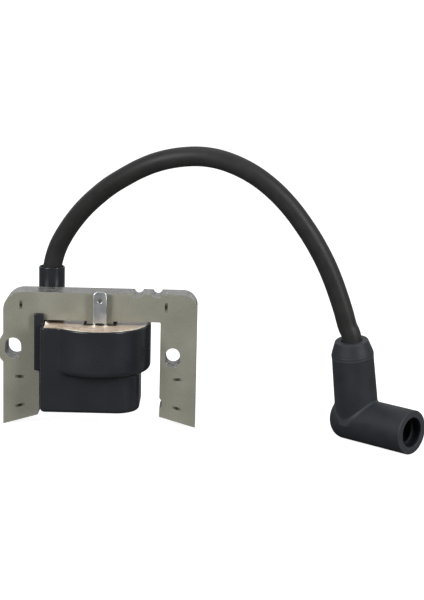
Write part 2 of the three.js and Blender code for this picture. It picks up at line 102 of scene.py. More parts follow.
# Cup
GAP, WALL = 0.3, 1.2
DRUM = {"x": -0.5, "y": 4.2, "radius": 18.6, "bottom": 20.5, "round": 2.3}
CUP = {"left": -20.6, "right": 14.5, "front": -9, "back": 18.4, "bottom": 6.7, "rim": 37.35, "round": 1.5}
CUP_CORNER = {"left": 1.8, "right_front": 8.5, "right_back": 6.5}
RAIL = {"left": -23.4, "right": -19.8, "deep": 1.5, "bottom": 20.2, "top": 41.15}
TOWER = {"x": -18.8, "y": 15.8, "radius": 4.7, "bottom": 28, "seat": 45, "top": 55.4}
TOWER_FLARE = {"from": 50, "mouth": 4.2}

# Resin surface; the climbs are heights that fade over their reach from a wall, a foot or the corner
RESIN = {"top": 37, "thick": 1.2, "wave": 0.12}
CLIMB = {"height": 0.5, "reach": 0.7}
SPLASH = {"height": 1.1, "reach": 0.9}

# Stop terminal
TERMINAL = {"x": 0.05, "half": 2.37, "thick": 0.8, "y": -2.5, "bottom": 33.95, "top": 49.5, "chamfer": 0.9}
TERMINAL_HOLE = {"z": 46.3, "radius": 0.75}
TERMINAL_ARCH = {"half": 1.75, "round": 0.9, "top": 38.3}

# Lead and boot; the boot's own frame has X along the arm and Z up the tube
LEAD = {"radius": 3.4, "samples": 8}
BOOT = {"x": 92.1, "y": -11.2, "yaw": -43.1, "tilt": 10.1, "arm": 7.75}
ARM = {"back": -8.5, "mouth": 23.8, "dome": 4.2, "bore": 5.2, "neck": 4, "neck_end": 9.5, "bore_end": -3}
ARM_RIDGE = {"from": 19.1, "to": 20.5, "radius": 4.7}
TUBE = {"foot": 7.7, "neck": 7.3, "bulge": 7.45, "rim": 5.8, "shoulder": 24.9, "top": 29.75}
TUBE_BORE = {"radius": 3.5, "lead_end": 8.5}
FLASH = {"z": 24.1, "proud": 0.1, "width": 0.3}  # the bead under the tube's shoulder
MOULD_LINE = {"proud": 0.22, "width": 0.3}  # where the arm and the tube meet
SHOULDER_HALF = 0.5
LEAD_ROUTE = [
    (-18.8, 15.8, 45.3), (-18.8, 15.8, 50), (-18.7, 15.8, 54.4), (-17.9, 15.2, 58.5), (-16.2, 13.8, 63.4),
    (-13.3, 11.6, 68.8), (-9.8, 8.9, 74), (-5.8, 5.8, 78.9), (-1.4, 2.5, 83.3), (3.2, -0.9, 87.3),
    (8.1, -4, 90.7), (13.1, -6.8, 93.8), (18.2, -9.2, 96.3), (23.5, -11.2, 98.1), (29, -12.8, 99.2),
    (34.5, -14, 99.6), (39.9, -14.9, 99.1), (45.1, -15.5, 97.7), (50.1, -15.9, 95.6), (54.8, -16.2, 92.9),
    (59.2, -16.4, 89.6), (63.2, -16.5, 85.9), (67, -16.5, 81.7), (70.3, -16.5, 77.4), (73.5, -16.5, 72.8),
    (76.4, -16.4, 68), (79, -16.2, 63.1), (81.3, -15.9, 58), (83.4, -15.7, 52.6), (85.3, -15.5, 47.2),
    (87, -15.1, 41.8),
]
BOOT_FRAME = (
    Matrix.Translation((BOOT["x"], BOOT["y"], BOOT["arm"]))
    @ Matrix.Rotation(math.radians(BOOT["yaw"]), 4, "Z")
    @ Matrix.Rotation(math.radians(BOOT["tilt"]), 4, "X")
)


# ---------------------------------------------------------------- camera

CAMERA = {"x": 39.15, "y": -558.57, "z": 155.54, "yaw": 0.06, "pitch": -10.98, "roll": 1.36, "lens": 96}


def add_camera():
    data = bpy.data.cameras.new("camera")
    data.lens = CAMERA["lens"]
    data.clip_start, data.clip_end = 0.01, 20
    camera = bpy.data.objects.new("camera", data)
    turn = (
        Matrix.Rotation(-math.radians(CAMERA["yaw"]), 4, "Z")
        @ Matrix.Rotation(math.radians(90 + CAMERA["pitch"]), 4, "X")
        @ Matrix.Rotation(math.radians(CAMERA["roll"]), 4, "Z")
    )
    place = in_row((CAMERA["x"], CAMERA["y"], CAMERA["z"]))
    camera.matrix_world = Matrix.Translation(place) @ turn
    bpy.context.scene.collection.objects.link(camera)
    bpy.context.scene.camera = camera


# ---------------------------------------------------------------- meshes

def link(name, data, body, slot, *stands_for):
    """A new piece that rides on a body and stands for some CAD nodes. Its slot is not used."""
    made = bpy.data.objects.new(name, data)
    bpy.context.scene.collection.objects.link(made)
    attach(made, body)
    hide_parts(*stands_for)
    return made


def mesh_of(name, points, faces, normals=None, wear=None):
    """A smooth mesh in the row frame, with how worn or raised each point is as an attribute; on the resin,
    how raised it is masks a painted highlight.
    """
    data = bpy.data.meshes.new(name)
    data.from_pydata(points.tolist(), [], [tuple(face) for face in faces])
    data.polygons.foreach_set("use_smooth", [True] * len(data.polygons))
    if normals is not None:
        data.normals_split_custom_set_from_vertices(normals.tolist())
    if wear is not None:
        data.attributes.new("wear", "FLOAT", "POINT").data.foreach_set("value", wear)
    data.update()
    return data


def slope_of(field, points, step=0.02):
    """The gradient of a distance field."""
    columns = []
    for axis in range(3):
        shift = np.zeros(3)
        shift[axis] = step
        columns.append((field(points + shift) - field(points - shift)) / (2 * step))
    return np.stack(columns, 1)


def settled(field, points, pitch):
    """Points moved onto the surface where the field is zero."""
    for _ in range(4):
        slope = slope_of(field, points)
        move = field(points)[:, None] * slope / np.maximum((slope ** 2).sum(1), 0.3)[:, None]
        far = np.maximum(np.linalg.norm(move, axis=1) / (0.7 * pitch), 1)
        points = points - move / far[:, None]
    return points


def skin(field, low, high, pitch):
    """Points, quads and normals of the closed surface where a distance field is zero, found on a grid."""
    low = np.array(low, float) - 1.5 * pitch
    axes = [np.arange(a, b + 2 * pitch, pitch) for a, b in zip(low, high)]
    slabs = []
    for x in axes[0]:
        slab = np.stack(np.meshgrid([x], axes[1], axes[2], indexing="ij"), -1).reshape(-1, 3)
        slabs.append(field(slab).reshape(len(axes[1]), len(axes[2])) < 0)
    inside = np.array(slabs)
    count = sum(
        inside[i:len(axes[0]) - 1 + i, j:len(axes[1]) - 1 + j, k:len(axes[2]) - 1 + k].astype(int)
        for i in (0, 1) for j in (0, 1) for k in (0, 1)
    )
    mixed = (count > 0) & (count < 8)
    index = np.full(mixed.shape, -1)
    index[mixed] = np.arange(mixed.sum())
    quads = []
    for axis in range(3):
        solid, cells = np.moveaxis(inside, axis, 0), np.moveaxis(index, axis, 0)
        i, j, k = np.nonzero((solid[1:] != solid[:-1])[:, 1:-1, 1:-1])
        j, k = j + 1, k + 1
        quad = np.stack([cells[i, j - 1, k - 1], cells[i, j, k - 1], cells[i, j, k], cells[i, j - 1, k]], 1)
        turned = ~solid[i, j, k] ^ (axis == 1)
        quad[turned] = quad[turned][:, ::-1]
        quads.append(quad)
    quads = np.concatenate(quads)
    points = settled(field, low + (np.argwhere(mixed) + 0.5) * pitch, pitch)
    edges = np.concatenate([quads[:, [n, (n + 1) % 4]] for n in range(4)])
    for _ in range(2):  # evens out the grid
        total, shared = np.zeros_like(points), np.zeros(len(points))
        np.add.at(total, edges[:, 0], points[edges[:, 1]])
        np.add.at(shared, edges[:, 0], 1)
        points = settled(field, (points + total / shared[:, None]) / 2, pitch)
    slope = slope_of(field, points)
    return points, quads, slope / np.linalg.norm(slope, axis=1)[:, None]


def plate(outline, holes, y0, y1, edge):
    """A sheet with rounded edges, from a front-view outline in x and z between two depths, as a mesh."""
    curve = bpy.data.curves.new("outline", "CURVE")
    curve.dimensions, curve.fill_mode = "2D", "BOTH"
    curve.extrude, curve.bevel_depth, curve.offset = (y1 - y0) / 2 - edge, edge, -edge
    curve.bevel_resolution = 1
    for loop in (outline, *holes):
        spline = curve.splines.new("POLY")
        spline.points.add(len(loop) - 1)
        spline.points.foreach_set("co", [value for x, z in loop for value in (x, z, 0, 1)])
        spline.use_cyclic_u = True
    drawn = bpy.data.objects.new("outline", curve)
    mesh = bpy.data.meshes.new_from_object(drawn)
    bpy.data.objects.remove(drawn)
    upright = Matrix.Translation((0, (y0 + y1) / 2, 0)) @ Matrix.Rotation(math.pi / 2, 4, "X")
    mesh.transform(upright)
    welded = bmesh.new()
    welded.from_mesh(mesh)
    bmesh.ops.remove_doubles(welded, verts=welded.verts, dist=1e-4)
    bmesh.ops.recalc_face_normals(welded, faces=welded.faces)
    welded.to_mesh(mesh)
    welded.free()
    return mesh


def arc(x, z, radius, start, end, steps=8):
    """Points along an arc, both ends included."""
    angles = np.linspace(start, end, steps + 1)
    return [(x + radius * math.cos(angle), z + radius * math.sin(angle)) for angle in angles]


# ---------------------------------------------------------------- distance fields

def block(p, low, high, round_by=0.0):
    """Distance to a box with round edges."""
    low, high = np.array(low, float), np.array(high, float)
    q = np.abs(p - (low + high) / 2) - (high - low) / 2 + round_by
    return np.linalg.norm(np.maximum(q, 0), axis=1) + np.minimum(q.max(1), 0) - round_by


def rod(p, radius, axis=2, centre=(0, 0)):
    """Distance to an endless round bar along an axis."""
    across = np.delete(p, axis, 1) - centre
    return np.hypot(across[:, 0], across[:, 1]) - radius


def joined(a, b, fillet):
    """Both solids, with a fillet where they meet."""
    reach = np.hypot(np.maximum(fillet - a, 0), np.maximum(fillet - b, 0))
    return np.maximum(fillet, np.minimum(a, b)) - reach


def common(a, b, rounding):
    """What two solids share, with a rounded edge."""
    reach = np.hypot(np.maximum(rounding + a, 0), np.maximum(rounding + b, 0))
    return np.minimum(-rounding, np.maximum(a, b)) + reach


def cut(a, b, rounding):
    return common(a, -b, rounding)


# ---------------------------------------------------------------- core

def tip_height(x):
    return TIP_RISE * (CORE_HALF - abs(x)) / (CORE_HALF - LEG_INNER)


def core_outline():
    """The outline of one sheet, seen from the front."""
    half, leg, inner = CORE_HALF, MIDDLE_LEG, LEG_INNER
    left, right = TOP_CORNER["left"], TOP_CORNER["right"]
    corner = WINDOW_CORNER
    chamfer_x = inner + LEG_CHAMFER["x"]
    notch_radius = (SIDE_NOTCH["half"] ** 2 + SIDE_NOTCH["depth"] ** 2) / (2 * SIDE_NOTCH["depth"])
    notch_angle = math.asin(SIDE_NOTCH["half"] / notch_radius)
    top_angle = math.asin(TOP_NOTCHES["rise"] / TOP_NOTCHES["radius"])
    ear_angle = math.acos((half + LEFT_SLOT["x"]) / EAR["radius"])
    points = [(-half, 0), (-chamfer_x, tip_height(chamfer_x)), (-inner, TIP_RISE + LEG_CHAMFER["z"])]
    points += arc(corner - inner, WINDOW_TOP - corner, corner, math.pi, math.pi / 2, 3)
    points += [(-leg["half"], WINDOW_TOP), (-leg["half"], leg["tip"])]
    points += [(leg["half"], leg["tip"]), (leg["half"], WINDOW_TOP)]
    points += arc(inner - corner, WINDOW_TOP - corner, corner, math.pi / 2, 0, 3)
    notch_x = inner + SIDE_NOTCH["depth"] - notch_radius
    points += arc(notch_x, SIDE_NOTCH["z"], notch_radius, notch_angle, -notch_angle)
    points += [(inner, TIP_RISE), (half, 0)]
    points += arc(half - right, CORE_TOP - right, right, 0, math.pi / 2, 16)
    notch_z = CORE_TOP + TOP_NOTCHES["rise"]
    for x in TOP_NOTCHES["x"]:
        points += arc(x, notch_z, TOP_NOTCHES["radius"], -top_angle, top_angle - math.pi, 12)
    points += arc(left - half, CORE_TOP - left, left, math.pi / 2, math.pi, 20)
    points += arc(LEFT_SLOT["x"], EAR["high"], EAR["radius"], math.pi - ear_angle, math.pi)
    points += arc(LEFT_SLOT["x"], EAR["low"], EAR["radius"], math.pi, math.pi + ear_angle)
    return points


def slot_outline(x, low, high, radius):
    """An upright slot with round ends."""
    return arc(x, high, radius, math.pi, 0, 20) + arc(x, low, radius, 0, -math.pi, 20)


def lock_wedges(face, deep, top):
    """The punched marks as one mesh of closed wedges, deepest in their middle."""
    wedges = bmesh.new()
    half, wide, floor = LOCK["long"] / 2, LOCK["wide"] / 2, LOCK["floor"] / 2
    for x, z, turn in LOCKS:
        profile = [(-half, face), (-floor, face + deep), (floor, face + deep), (half, face)]
        profile += [(half, top), (-half, top)]
        along, across = (math.cos(turn), math.sin(turn)), (-math.sin(turn), math.cos(turn))
        rings = [
            [
                wedges.verts.new((x + u * along[0] + w * across[0], y, z + u * along[1] + w * across[1]))
                for u, y in profile
            ]
            for w in (-wide, wide)
        ]
        count = len(profile)
        wedges.faces.new(rings[0])
        wedges.faces.new(rings[1][::-1])
        for n in range(count):
            after = (n + 1) % count
            wedges.faces.new([rings[0][n], rings[0][after], rings[1][after], rings[1][n]])
    bmesh.ops.recalc_face_normals(wedges, faces=wedges.faces)
    mesh = bpy.data.meshes.new("lock_wedges")
    wedges.to_mesh(mesh)
    wedges.free()
    return mesh


def combined(mesh, tool, operation):
    """The mesh after a boolean with a tool mesh, whose own faces keep the tool's material."""
    body, other = bpy.data.objects.new("body", mesh), bpy.data.objects.new("tool", tool)
    for made in (body, other):
        bpy.context.scene.collection.objects.link(made)
    step = body.modifiers.new("boolean", "BOOLEAN")
    step.object, step.operation, step.solver, step.material_mode = other, operation, "EXACT", "TRANSFER"
    bpy.context.view_layer.update()
    result = bpy.data.meshes.new_from_object(body.evaluated_get(bpy.context.evaluated_depsgraph_get()))
    bpy.data.objects.remove(body)
    bpy.data.objects.remove(other)
    return result


def add_core(coated, sheared, punched):
    """The stack of sheets, each a closed plate with rounded edges."""
    draw = random.Random(11)
    outline = core_outline()
    holes = [slot_outline(**slot) for slot in (LEFT_SLOT, RIGHT_SLOT)]
    for count, name in enumerate(SHEETS):
        front = count * SHEET_PITCH
        mesh = plate(outline, holes, front, front + SHEET, SHEET_EDGE)
        mesh.materials.append(coated)
        mesh.materials.append(sheared)
        mesh.update()
        for face in mesh.polygons:
            face.material_index = 0 if abs(face.normal.y) > 0.9 else 1
        if count == 0:
            tool = lock_wedges(-0.01, LOCK["deep"], -1)
            tool.materials.append(punched)
            mesh = combined(mesh, tool, "DIFFERENCE")
        if count == len(SHEETS) - 1:
            tool = lock_wedges(front + SHEET - 0.01, LOCK["proud"], front + SHEET / 2)
            tool.materials.append(coated)
            mesh = combined(mesh, tool, "UNION")
        shift = [0, 0, 0]
        if count:
            shift = [draw.uniform(-SHEET_SHIFT, SHEET_SHIFT), 0, draw.uniform(-SHEET_SHIFT, SHEET_SHIFT)]
        mesh.transform(Matrix.Translation(shift))
        mesh.transform(Matrix.Scale(MM, 4) @ Matrix.Translation(ORIGIN))
        link("sheet_" + name[-2:], mesh, MODULE, "core_steel", name)


# ---------------------------------------------------------------- cup

def cup_plan(p):
    """Distance to the upright sides of the cup's box, whose corners have three radii."""
    middle = np.array([CUP["left"] + CUP["right"], CUP["front"] + CUP["back"]]) / 2
    half = np.array([CUP["right"] - CUP["left"], CUP["back"] - CUP["front"]]) / 2
    across = p[:, :2] - middle
    right = np.where(across[:, 1] < 0, CUP_CORNER["right_front"], CUP_CORNER["right_back"])
    radius = np.where(across[:, 0] < 0, CUP_CORNER["left"], right)
    q = np.abs(across) - half + radius[:, None]
    return np.linalg.norm(np.maximum(q, 0), axis=1) + np.minimum(q.max(1), 0) - radius


def cup_form(p):
    """The cup's outer form, endless upwards: a drum over a box, whose left half runs up to the rim."""
    drum = common(rod(p, DRUM["radius"], 2, (DRUM["x"], DRUM["y"])), DRUM["bottom"] - p[:, 2], DRUM["round"])
    box = common(cup_plan(p), CUP["bottom"] - p[:, 2], CUP["round"])
    box = np.maximum(box, np.minimum(p[:, 2] - DRUM["bottom"] - 1.5, p[:, 0]))
    return joined(box, drum, 0.7)


def cup_field(p):
    form = cup_form(p)
    shell = common(common(form, p[:, 2] - CUP["rim"], 0.35), -form - WALL, 0.35)
    tower = rod(p, TOWER["radius"], 2, (TOWER["x"], TOWER["y"]))
    tower = common(tower, p[:, 2] - TOWER["top"], 0.35)
    tower = common(tower, TOWER["bottom"] - p[:, 2], 0.6)
    body = joined(shell, tower, 0.8)
    for y in (-GAP - RAIL["deep"], CORE_DEPTH + GAP):
        low, high = (RAIL["left"], y, RAIL["bottom"]), (RAIL["right"], y + RAIL["deep"], RAIL["top"])
        rail = block(p, low, high, 0.6)
        body = joined(body, rail, 0.3)
    narrow = LEAD["radius"] + GAP
    taper = (TOWER_FLARE["mouth"] - narrow) / (TOWER["top"] - TOWER_FLARE["from"])
    reach = narrow + np.clip(p[:, 2] - TOWER_FLARE["from"], 0, 8) * taper
    bore = rod(p, 0, 2, (TOWER["x"], TOWER["y"])) - reach
    return cut(body, np.maximum(bore, TOWER["seat"] - p[:, 2]), 0.2)


def add_cup(material):
    low = (RAIL["left"] - 1, DRUM["y"] - DRUM["radius"], CUP["bottom"])
    high = (DRUM["x"] + DRUM["radius"], DRUM["y"] + DRUM["radius"], TOWER["top"])
    points, faces, normals = skin(cup_field, low, high, 0.35)
    mesh = mesh_of("cup", in_row(points), faces, normals)
    mesh.materials.append(material)
    link("cup", mesh, MODULE, "cup_plastic", "coil_cup")


# ---------------------------------------------------------------- resin surface

def terminal_feet(p):
    """Distance to the stop terminal's two feet."""
    x, y = TERMINAL["x"], TERMINAL["y"]
    foot = [TERMINAL_ARCH["half"], TERMINAL["half"]]
    sides = [(x - foot[1], x - foot[0]), (x + foot[0], x + foot[1])]
    return np.min([block(p, (a, y, 30), (b, y + TERMINAL["thick"], 45)) for a, b in sides], axis=0)


def resin_climb(p):
    """How far the resin rises against the cup's walls, the rail and the terminal's feet."""
    wall = CLIMB["height"] * np.exp((cup_form(p) + WALL) / CLIMB["reach"])
    feet = CLIMB["height"] * np.exp(-np.maximum(terminal_feet(p), 0) / CLIMB["reach"])
    to_corner = rod(p, 0, 2, (CUP["left"] + WALL, -GAP - RAIL["deep"] / 2))
    return wall + feet + SPLASH["height"] * np.exp(-to_corner / SPLASH["reach"])


def resin_field(p):
    """The resin's top layer."""
    waves = RESIN["wave"] * np.sin(p[:, 0] * 0.31 + 1) * np.sin(p[:, 1] * 0.27 + 0.6)
    top = p[:, 2] - RESIN["top"] - resin_climb(p) - waves
    return common(common(cup_form(p) + WALL - 0.02, top, 0.15), RESIN["top"] - RESIN["thick"] - p[:, 2], 0.1)


def add_resin(material):
    low = (CUP["left"], DRUM["y"] - DRUM["radius"], RESIN["top"] - 1.5)
    high = (DRUM["x"] + DRUM["radius"], DRUM["y"] + DRUM["radius"], RESIN["top"] + 1.8)
    points, faces, normals = skin(resin_field, low, high, 0.3)
    # The climb height goes into the wear attribute, where the resin's material lays a painted highlight.
    mesh = mesh_of("resin_surface", in_row(points), faces, normals, np.clip(resin_climb(points), 0, 1))
    mesh.materials.append(material)
    link("resin_surface", mesh, MODULE, "resin")


# ---------------------------------------------------------------- stop terminal

def add_terminal(material):
    half, bottom, top = TERMINAL["half"], TERMINAL["bottom"], TERMINAL["top"]
    x, chamfer, arch = TERMINAL["x"], TERMINAL["chamfer"], TERMINAL_ARCH
    foot, turn = arch["half"], arch["top"] - arch["round"]
    outline = [(x + foot, bottom), (x + half, bottom), (x + half, top - chamfer), (x + half - chamfer, top)]
    outline += [(x - half + chamfer, top), (x - half, top - chamfer), (x - half, bottom), (x - foot, bottom)]
    outline += arc(x - foot + arch["round"], turn, arch["round"], math.pi, math.pi / 2, 5)
    outline += arc(x + foot - arch["round"], turn, arch["round"], math.pi / 2, 0, 5)
    hole = arc(x, TERMINAL_HOLE["z"], TERMINAL_HOLE["radius"], 0, -2 * math.pi, 24)[:-1]
    mesh = plate(outline, [hole], TERMINAL["y"], TERMINAL["y"] + TERMINAL["thick"], 0.22)
    mesh.transform(Matrix.Scale(MM, 4) @ Matrix.Translation(ORIGIN))
    mesh.materials.append(material)
    link("stop_terminal", mesh, MODULE, "tinned", "kill_terminal")


# ---------------------------------------------------------------- lead and boot

def on_tube(height):
    """A point on the boot's tube axis, at a height above the arm's axis."""
    return tuple(BOOT_FRAME @ Vector((0, 0, height)))


def smooth_line(route, samples):
    """Points along the centripetal Catmull-Rom curve through a route."""
    p = np.array(route, float)
    p = np.concatenate([[2 * p[0] - p[1]], p, [2 * p[-1] - p[-2]]])
    line = []
    for n in range(1, len(p) - 2):
        p0, p1, p2, p3 = p[n - 1:n + 3]
        d0, d1, d2 = (np.linalg.norm(b - a) ** 0.5 for a, b in ((p0, p1), (p1, p2), (p2, p3)))
        t1 = ((p1 - p0) / d0 - (p2 - p0) / (d0 + d1) + (p2 - p1) / d1) * d1
        t2 = ((p2 - p1) / d1 - (p3 - p1) / (d1 + d2) + (p3 - p2) / d2) * d1
        for u in np.arange(samples) / samples:
            line.append(
                (2 * u ** 3 - 3 * u ** 2 + 1) * p1 + (u ** 3 - 2 * u ** 2 + u) * t1
                + (3 * u ** 2 - 2 * u ** 3) * p2 + (u ** 3 - u ** 2) * t2
            )
    line.append(p[-2])
    return np.array(line)


def add_lead(material):
    """The lead's jacket: one open curve from the tower's seat to the middle of the boot."""
    in_boot = [on_tube(height) for height in (TUBE["top"] + 2, 24, 16, TUBE_BORE["lead_end"])]
    line = in_row(smooth_line(LEAD_ROUTE + in_boot, LEAD["samples"]))
    curve = bpy.data.curves.new("lead", "CURVE")
    curve.dimensions = "3D"
    curve.bevel_depth, curve.bevel_resolution, curve.use_fill_caps = LEAD["radius"] * MM, 10, True
    spline = curve.splines.new("POLY")
    spline.points.add(len(line) - 1)
    spline.points.foreach_set("co", [value for point in line for value in (*point, 1)])
    spline.use_smooth = True
    curve.materials.append(material)
    return link("lead", curve, MODULE, "jacket", "lead_jacket")


def bump(distance, width):
    """1 where a distance is 0, fading out smoothly over a width."""
    return np.exp(-(distance / width) ** 2)


def boot_arm(p):
    """Distance to the boot's arm, along X, with a round end."""
    arm = common(rod(p, BOOT["arm"], 0), ARM["back"] - p[:, 0], ARM["dome"])
    return common(arm, p[:, 0] - ARM["mouth"], 0.3)


def boot_tube(p):
    """Distance to the boot's tube, along Z, with a coned top above a bead of flash."""
    around = rod(p, 0, 2)
    taper = (TUBE["foot"] - TUBE["neck"]) / TUBE["shoulder"]
    bead = FLASH["proud"] * bump(p[:, 2] - FLASH["z"], FLASH["width"])
    tube = around - TUBE["foot"] + taper * p[:, 2] - bead
    slope = math.atan2(TUBE["bulge"] - TUBE["rim"], TUBE["top"] - TUBE["shoulder"])
    above = p[:, 2] - TUBE["shoulder"]
    cone = (around - TUBE["bulge"]) * math.cos(slope) + above * math.sin(slope)
    tube = np.minimum(tube, common(around - TUBE["bulge"], np.abs(above) - SHOULDER_HALF, 0.3))
    tube = common(tube, cone, 0.2)
    tube = common(tube, p[:, 2] - TUBE["top"], 0.25)
    return common(tube, -p[:, 2], 0.5)


def boot_field(p):
    """The boot in its own frame, with a raised mould line in the corner between arm and tube."""
    arm, tube = boot_arm(p), boot_tube(p)
    body = joined(arm, tube, 0.15) - MOULD_LINE["proud"] * bump(arm - tube, MOULD_LINE["width"])
    lead_bore = common(rod(p, TUBE_BORE["radius"], 2), 2 - p[:, 2], 0.2)
    body = cut(body, lead_bore, 0.25)
    wide = common(rod(p, ARM["bore"], 0), ARM["neck_end"] - p[:, 0], 0.3)
    narrow = common(rod(p, ARM["neck"], 0), ARM["bore_end"] - p[:, 0], 0.3)
    middle = (ARM_RIDGE["from"] + ARM_RIDGE["to"]) / 2
    ridge = (ARM["bore"] - ARM_RIDGE["radius"]) * bump(p[:, 0] - middle, 0.6)
    return cut(body, joined(wide + ridge, narrow, 0.3), 0.25)


def boot_wear(p):
    """1 on the mould lines and the rims, where the rubber is rubbed pale."""
    crease = bump(boot_arm(p) - boot_tube(p), MOULD_LINE["width"]) * (p[:, 2] < BOOT["arm"] + 1.25)
    flash = bump(p[:, 2] - FLASH["z"], FLASH["width"]) * (rod(p, 6) > 0)
    rims = (p[:, 0] > ARM["mouth"] - 0.25).astype(float) + (p[:, 2] > TUBE["top"] - 0.25)
    return np.clip(crease + flash + 0.7 * rims, 0, 1)


def add_boot(material):
    low = (ARM["back"], -BOOT["arm"], -BOOT["arm"])
    high = (ARM["mouth"], BOOT["arm"], TUBE["top"])
    points, faces, normals = skin(boot_field, low, high, 0.3)
    wear = boot_wear(points)
    turn = np.array(BOOT_FRAME)
    points = points @ turn[:3, :3].T + turn[:3, 3]
    mesh = mesh_of("boot_rubber_body", in_row(points), faces, normals @ turn[:3, :3].T, wear)
    mesh.materials.append(material)
    return link("rubber_boot", mesh, BOOT_BODY, "boot_rubber", "plug_boot")


# ---------------------------------------------------------------- materials

class Finish:
    """One procedural material. Its textures read metres in the piece's own coordinates."""

    def __init__(self, name, metallic=0.0, **sockets):
        self.material = bpy.data.materials.new(name)
        self.material.use_nodes = True
        self.tree = self.material.node_tree
        self.shader = self.tree.nodes["Principled BSDF"]
        self.shader.inputs["Metallic"].default_value = metallic
        for socket, value in sockets.items():
            self.shader.inputs[socket.replace("_", " ")].default_value = value
        self.height = None

    def node(self, kind, **settings):
        made = self.tree.nodes.new("ShaderNode" + kind)
        for setting, value in settings.items():
            setattr(made, setting, value)
        return made

    def place(self, stretch=(1, 1, 1)):
        """Object coordinates, stretched along the axes."""
        mapping = self.node("Mapping")
        mapping.inputs["Scale"].default_value = stretch
        self.tree.links.new(self.node("TexCoord").outputs["Object"], mapping.inputs["Vector"])
        return mapping.outputs["Vector"]

    def noise(self, size, detail=3.0, stretch=(1, 1, 1)):
        """Cloudy noise from 0 to 1, whose features are about a size in millimetres."""
        texture = self.node("TexNoise")
        texture.inputs["Scale"].default_value = 1 / (size * MM)
        texture.inputs["Detail"].default_value = detail
        self.tree.links.new(self.place(stretch), texture.inputs["Vector"])
        return texture.outputs["Fac"]

    def bands(self, axis, pitch, distortion=0.0):
        """Waves from 0 to 1 across an axis, with a pitch in millimetres."""
        texture = self.node("TexWave", bands_direction=axis)
        texture.inputs["Scale"].default_value = 0.314 / (pitch * MM)
        texture.inputs["Distortion"].default_value = distortion
        self.tree.links.new(self.place(), texture.inputs["Vector"])
        return texture.outputs["Fac"]

    def cells(self, size, stretch=(1, 1, 1)):
        """Distance to the nearest of scattered points."""
        texture = self.node("TexVoronoi")
        texture.inputs["Scale"].default_value = 1 / (size * MM)
        self.tree.links.new(self.place(stretch), texture.inputs["Vector"])
        return texture.outputs["Distance"]

    def worn(self):
        """The piece's wear attribute, from 0 to 1: rubbed wear on the boot, and on the resin the mask of a
        painted highlight.
        """
        return self.node("Attribute", attribute_name="wear").outputs["Fac"]

    def depth(self, front, back):
        """0 at one depth in the design frame and 1 at another."""
        apart = self.node("SeparateXYZ")
        self.tree.links.new(self.place(), apart.inputs["Vector"])
        return self.span(apart.outputs["Y"], *((y + ORIGIN[1]) * MM for y in (front, back)), 0, 1)

    def span(self, source, low, high, start, end):
        """A source between two values, mapped to another pair of values."""
        step = self.node("MapRange")
        for socket, value in zip(("From Min", "From Max", "To Min", "To Max"), (low, high, start, end)):
            step.inputs[socket].default_value = value
        self.tree.links.new(source, step.inputs["Value"])
        return step.outputs["Result"]

    def colours(self, source, *stops):
        """A colour ramp: pairs of a place from 0 to 1 and a linear colour."""
        ramp = self.node("ValToRGB")
        elements = ramp.color_ramp.elements
        elements.remove(elements[-1])
        elements[0].position, elements[0].color = stops[0][0], (*stops[0][1], 1)
        for position, colour in stops[1:]:
            elements.new(position).color = (*colour, 1)
        self.tree.links.new(source, ramp.inputs["Fac"])
        return ramp.outputs["Color"]

    def over(self, below, above, amount):
        """One colour laid over another where the amount is 1."""
        mix = self.node("Mix", data_type="RGBA")
        self.tree.links.new(amount, mix.inputs["Factor"])
        self.tree.links.new(below, mix.inputs["A"])
        self.tree.links.new(above, mix.inputs["B"])
        return mix.outputs["Result"]

    def drive(self, socket, source):
        self.tree.links.new(source, self.shader.inputs[socket])

    def relief(self, source, depth):
        """Bumps of a depth in millimetres, on top of the earlier ones."""
        bump = self.node("Bump")
        bump.inputs["Distance"].default_value = depth * MM
        self.tree.links.new(source, bump.inputs["Height"])
        if self.height:
            self.tree.links.new(self.height, bump.inputs["Normal"])
        self.height = bump.outputs["Normal"]
        self.drive("Normal", self.height)


def tones(colour, spread):
    """A darker and a lighter tone of a colour."""
    return tuple(c * (1 - spread) for c in colour), tuple(c * (1 + spread) for c in colour)


def coated_steel():
    """Flat face of a core sheet: rolled grain and smudges in an olive-grey oxide coating."""
    finish = Finish("coated_steel", metallic=0.55)
    dark, light = tones((0.262, 0.26, 0.213), 0.07)
    grain = finish.noise(0.35, 4, (1, 1, 0.25))
    smudge = finish.noise(9, 3)
    pits = finish.span(finish.cells(0.9), 0.0, 0.22, 1, 0)
    rolled = finish.colours(grain, (0.3, dark), (0.7, light))
    smudged = finish.colours(smudge, (0.3, dark), (0.7, light))
    base = finish.over(rolled, smudged, finish.span(smudge, 0.3, 0.7, 0.2, 0.6))
    finish.drive("Base Color", finish.over(base, finish.colours(smudge, (0, (0.16, 0.155, 0.12))), pits))
    finish.drive("Roughness", finish.span(smudge, 0.3, 0.7, 0.4, 0.52))
    finish.relief(grain, 0.012)
    return finish.material


def sheared_steel():
    """Cut edge of a core sheet, whose tone changes from sheet to sheet."""
    finish = Finish("sheared_steel", metallic=0.85)
    dark, light = tones((0.205, 0.207, 0.212), 0.3)
    strip = finish.noise(SHEET_PITCH * 1.4, 1, (0.04, 1, 0.04))
    wear = finish.noise(2.5, 4, (1, 0.2, 1))
    striped = finish.colours(strip, (0.3, dark), (0.7, light))
    worn = finish.colours(wear, (0.35, dark), (0.65, light))
    finish.drive("Base Color", finish.over(striped, worn, finish.span(wear, 0.3, 0.7, 0.1, 0.5)))
    finish.drive("Roughness", finish.span(wear, 0.3, 0.7, 0.24, 0.34))
    finish.relief(wear, 0.006)
    return finish.material


